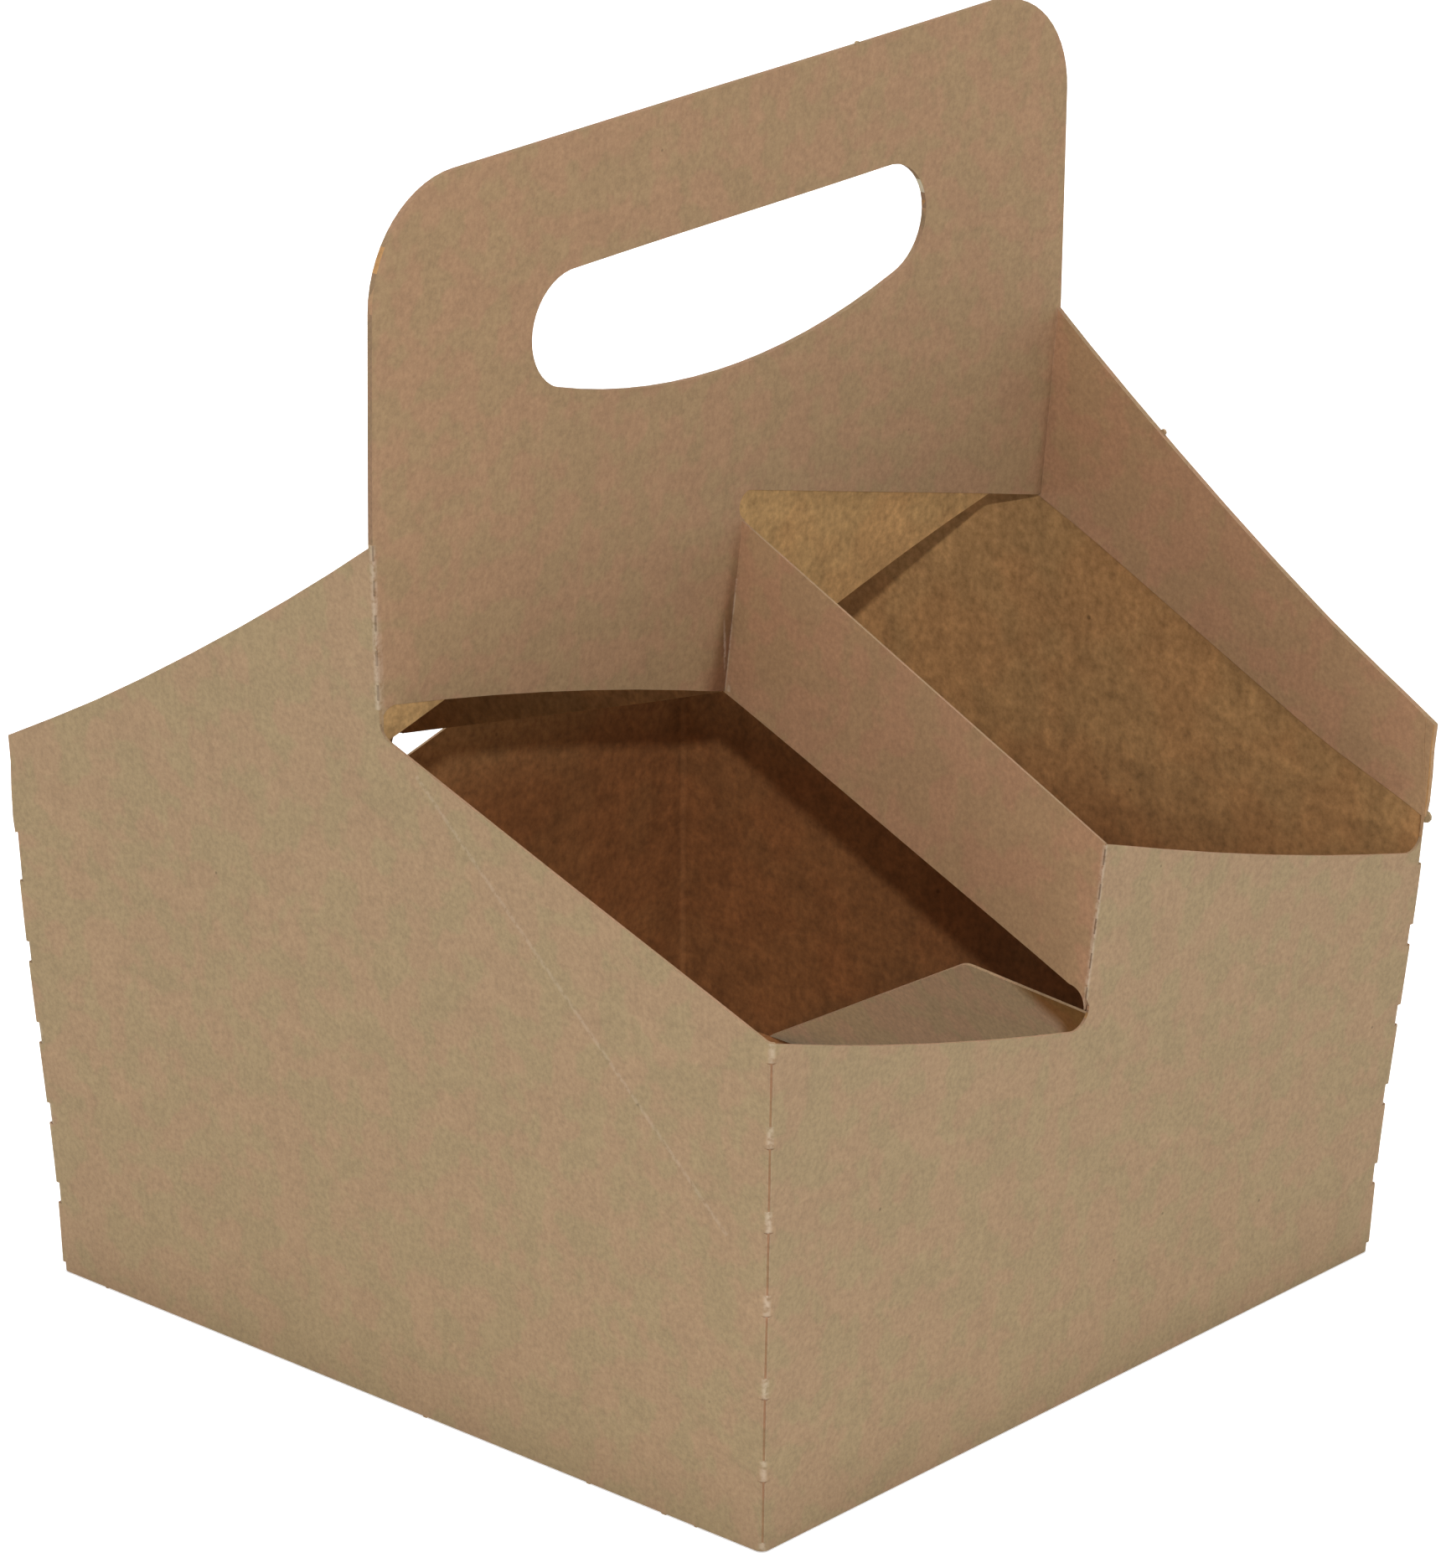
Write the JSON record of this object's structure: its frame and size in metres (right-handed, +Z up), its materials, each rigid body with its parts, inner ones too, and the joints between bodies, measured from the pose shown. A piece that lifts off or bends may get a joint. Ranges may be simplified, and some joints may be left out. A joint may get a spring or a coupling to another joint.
{
  "type": "cardboard cup carrier",
  "caption": "Folded kraft board carrier with an upright handle web and dividing straps that hold drink cups in open cells.",
  "frame": {"origin": "middle of the square base, on the surface that the carrier stands on", "axes": "+X along the front wall to the right, +Y from the front wall to the back wall, +Z up through the handle"},
  "size_m": [0.2104, 0.2098, 0.258],
  "materials": {
    "kraft_board": "matt, uncoated, paler outside than inside"
  },
  "bodies": {
    "root": {"carrier": "kraft_board"}
  },
  "joints": []
}
